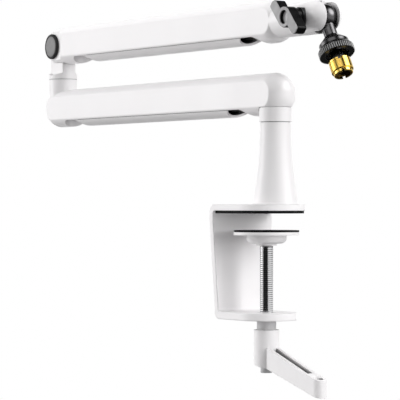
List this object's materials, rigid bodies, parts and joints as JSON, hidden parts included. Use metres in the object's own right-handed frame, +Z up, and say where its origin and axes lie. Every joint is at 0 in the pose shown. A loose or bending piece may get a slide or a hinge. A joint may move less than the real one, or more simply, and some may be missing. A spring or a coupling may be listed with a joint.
{
  "type": "microphone boom arm",
  "caption": "White low-profile boom arm for a microphone: desk clamp with screw, swivel post, lower and upper arm with cable channels, tilting elbow and a lockable ball head.",
  "frame": {"origin": "on the post's swivel axis, on the desk face, where the clamp's top pad rests", "axes": "+Z up along the post, both arms level along X with the elbow at -X, the knob and the disc cap at -Y"},
  "size_m": [0.4292, 0.0524, 0.2864],
  "materials": {
    "white": "fine satin white paint",
    "rubber": "matt black rubber",
    "steel": "zinc plated",
    "bronze": "plain sintered bronze",
    "washer_grey": "grey nylon",
    "friction": "matt black",
    "gloss_black": "glossy black",
    "disc_grey": "satin grey",
    "knob_silver": "satin silver",
    "wheel_black": "black anodised",
    "gilt_brass": "bright brass"
  },
  "bodies": {
    "clamp": {"clamp_frame": "white", "top_pad": "rubber", "riser_post": "white", "post_screws": "steel", "upper_bush": "bronze", "lower_bush": "bronze", "screw_bush": "steel"},
    "jaw": {"pressure_plate": "white", "pressure_pad": "rubber"},
    "crank": {"clamp_screw": "steel", "nose_ring": "steel", "crank_handle": "white", "crank_grub": "steel"},
    "lower_arm": {"base_collar": "white", "base_joint": "white", "base_spindle": "steel", "spindle_clip": "steel", "swivel_washer": "washer_grey", "lower_channel": "white", "lower_keepers": "steel", "elbow_socket": "white", "elbow_bush": "bronze", "lower_screws": "steel"},
    "lower_cable_cover": {"lower_cover": "white", "lower_magnets": "steel"},
    "elbow": {"elbow_neck": "white", "neck_bolt": "steel", "neck_nut": "steel", "elbow_washer": "washer_grey", "tilt_washers": "friction"},
    "upper_arm": {"elbow_fork": "white", "tilt_bolt": "steel", "cap_ring": "gloss_black", "cap_disc": "disc_grey", "upper_channel": "white", "upper_keepers": "steel", "upper_screws": "steel", "mic_head": "white", "clamp_stud": "steel"},
    "upper_cable_cover": {"upper_cover": "white", "upper_magnets": "steel"},
    "knob": {"wing_knob": "gloss_black", "knob_face": "knob_silver", "knob_screw": "knob_silver", "knob_washer": "friction"},
    "ball_joint": {"ball": "gloss_black"},
    "stem": {"ball_stem": "gloss_black"},
    "wheel": {"lock_wheel": "wheel_black"},
    "adapter": {"thread_adapter": "gilt_brass"}
  },
  "joints": [
    {"name": "jaw_travel", "type": "slide", "parent": "clamp", "child": "jaw", "axis": [0, 0, 1], "range_m": [-0.0475, 0.0068]},
    {"name": "crank_turn", "type": "hinge", "parent": "jaw", "child": "crank", "pos_m": [-0.0117, 0, -0.085], "axis": [0, 0, 1], "range_deg": [-11450, 1650]},
    {"name": "base_swivel", "type": "hinge", "parent": "clamp", "child": "lower_arm", "pos_m": [0, 0, 0.07], "axis": [0, 0, 1], "continuous": true},
    {"name": "lower_cover_off", "type": "slide", "parent": "lower_arm", "child": "lower_cable_cover", "axis": [0, 0, -1], "range_m": [0, 0.015]},
    {"name": "elbow_swivel", "type": "hinge", "parent": "lower_arm", "child": "elbow", "pos_m": [-0.323, 0, 0.112], "axis": [0, 0, 1], "continuous": true},
    {"name": "elbow_tilt", "type": "hinge", "parent": "elbow", "child": "upper_arm", "pos_m": [-0.323, 0, 0.1395], "axis": [0, -1, 0], "range_deg": [0, 70]},
    {"name": "upper_cover_off", "type": "slide", "parent": "upper_arm", "child": "upper_cable_cover", "axis": [0, 0, -1], "range_m": [0, 0.012]},
    {"name": "knob_turn", "type": "hinge", "parent": "upper_arm", "child": "knob", "pos_m": [0.0486, -0.02, 0.1391], "axis": [0, 1, 0], "range_deg": [0, 450]},
    {"name": "ball_swing", "type": "hinge", "parent": "upper_arm", "child": "ball_joint", "pos_m": [0.0626, 0, 0.1395], "axis": [0, 1, 0], "range_deg": [-149, 26]},
    {"name": "stem_spin", "type": "hinge", "parent": "ball_joint", "child": "stem", "pos_m": [0.0626, 0, 0.1395], "axis": [0.4818, 0, -0.8763], "continuous": true},
    {"name": "wheel_spin", "type": "hinge", "parent": "stem", "child": "wheel", "pos_m": [0.07416, 0, 0.11847], "axis": [0.4818, 0, -0.8763], "continuous": true},
    {"name": "adapter_off", "type": "slide", "parent": "stem", "child": "adapter", "axis": [0.4818, 0, -0.8763], "range_m": [0, 0.02]}
  ],
  "couplings": [
    {"joint": "crank_turn", "follows": "jaw_travel", "rad_per_m": 4188.8}
  ]
}
